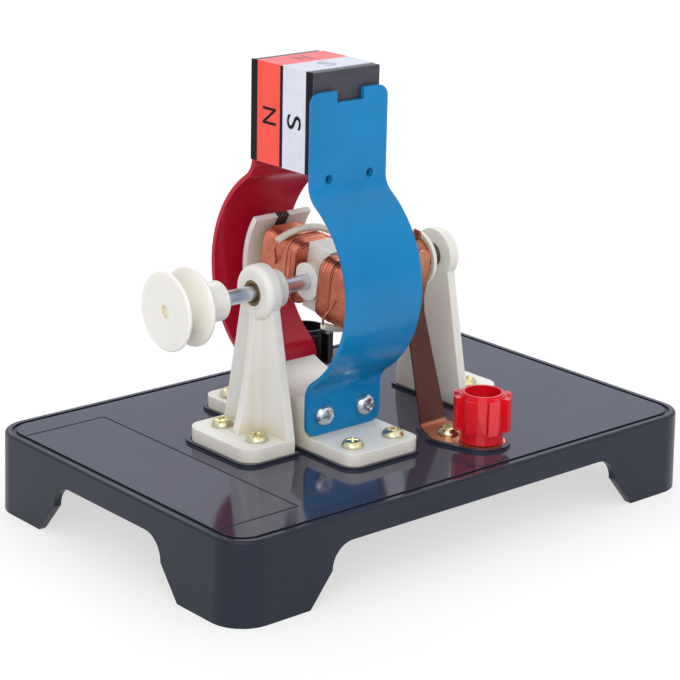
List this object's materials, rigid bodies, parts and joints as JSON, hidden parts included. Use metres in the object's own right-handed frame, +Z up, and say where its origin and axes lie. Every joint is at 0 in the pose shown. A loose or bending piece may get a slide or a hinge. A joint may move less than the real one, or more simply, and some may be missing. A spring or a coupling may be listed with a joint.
{
  "type": "demonstration electric motor",
  "caption": "Open demonstration electric motor on a black base, with a wound two-pole armature between red and blue pole shoes, block magnets, a pulley and two terminals.",
  "frame": {"origin": "centre of the base's footprint, on the surface that the base stands on", "axes": "+X along the shaft from the pulley to the commutator, +Y from the blue pole shoe to the red one, +Z up"},
  "size_m": [0.16, 0.106, 0.1212],
  "materials": {
    "black_plastic": "moulded, top plate polished, walls satin",
    "cream_plastic": "moulded ivory plastic with a soft sheen",
    "bronze": "sintered bronze",
    "gold_zinc": "yellow zinc plating",
    "silver_zinc": "bright zinc plating",
    "blue_paint": "glossy enamel",
    "red_paint": "glossy enamel",
    "ferrite": "pressed and ground ferrite",
    "orange_label": "smooth printed label",
    "lilac_label": "smooth printed label",
    "shaft_steel": "bright drawn steel",
    "lamination_iron": "stacked sheets with dark scale",
    "copper_wire": "enamelled copper wire",
    "copper": "rolled copper",
    "sleeving": "thin flexible sleeving",
    "brass_posts": "turned brass",
    "red_plastic": "glossy moulded plastic",
    "cap_black_plastic": "glossy moulded plastic"
  },
  "bodies": {
    "stand": {"base": "black_plastic", "pulley_pedestal": "cream_plastic", "commutator_pedestal": "cream_plastic", "pulley_end_bush": "bronze", "commutator_end_bush": "bronze", "pedestal_screws": "gold_zinc", "pole_block": "cream_plastic", "pole_block_screws": "gold_zinc", "blue_pole_shoe": "blue_paint", "red_pole_shoe": "red_paint", "pole_shoe_screws": "silver_zinc", "front_brush": "copper", "back_brush": "copper", "brush_screws": "gold_zinc", "terminal_posts": "brass_posts", "terminal_washers": "silver_zinc", "terminal_nuts": "brass_posts"},
    "rotor": {"rotor_shaft": "shaft_steel", "shaft_collar": "cream_plastic", "pulley": "cream_plastic", "armature_core": "lamination_iron", "armature_frame_front": "cream_plastic", "armature_frame_rear": "cream_plastic", "coil_1_core": "copper_wire", "coil_1_turns": "copper_wire", "coil_2_core": "copper_wire", "coil_2_turns": "copper_wire", "lead_sleeves": "sleeving", "commutator_drum": "cream_plastic", "commutator_segments": "copper"},
    "magnets": {"north_magnet": "ferrite", "south_magnet": "ferrite", "north_label": "orange_label", "south_label": "lilac_label"},
    "red_cap": {"red_terminal_cap": "red_plastic"},
    "black_cap": {"black_terminal_cap": "cap_black_plastic"}
  },
  "joints": [
    {"name": "rotor_spin", "type": "hinge", "parent": "stand", "child": "rotor", "pos_m": [0, 0, 0.0632], "axis": [1, 0, 0], "continuous": true},
    {"name": "magnets_lift", "type": "slide", "parent": "stand", "child": "magnets", "axis": [0, 0, 1], "range_m": [0, 0.03]},
    {"name": "red_cap_turn", "type": "hinge", "parent": "stand", "child": "red_cap", "pos_m": [0.0153, -0.0361, 0.0297], "axis": [0, 0, 1], "range_deg": [0, 360]},
    {"name": "black_cap_turn", "type": "hinge", "parent": "stand", "child": "black_cap", "pos_m": [0.0153, 0.0361, 0.0297], "axis": [0, 0, 1], "range_deg": [0, 360]}
  ]
}
